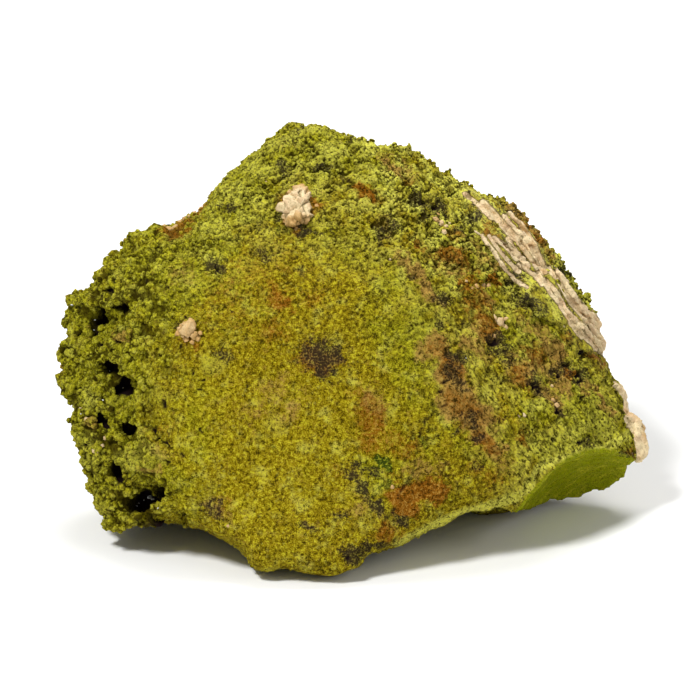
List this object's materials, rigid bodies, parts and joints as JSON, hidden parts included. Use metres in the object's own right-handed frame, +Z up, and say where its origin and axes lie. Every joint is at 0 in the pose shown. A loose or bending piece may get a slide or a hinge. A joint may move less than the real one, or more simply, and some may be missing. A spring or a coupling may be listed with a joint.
{
  "type": "nontronite specimen",
  "caption": "Broken hand-size lump of yellow-green nontronite with a nodular flank, a shell-shaped fracture and a cream chalcedony crust.",
  "frame": {"origin": "middle of the specimen's base, on the surface that it rests on", "axes": "+X to the right along the longest side, +Z up, -Y out of the broad face"},
  "size_m": [0.0904, 0.0572, 0.0556],
  "materials": {
    "nontronite_lump": "matte, granular",
    "chalcedony_crust": "waxy satin",
    "upper_nodule": "waxy satin",
    "left_nodule": "waxy satin"
  },
  "bodies": {
    "root": {"nontronite_lump": "nontronite_lump", "chalcedony_crust": "chalcedony_crust", "upper_nodule": "upper_nodule", "left_nodule": "left_nodule"}
  },
  "joints": []
}
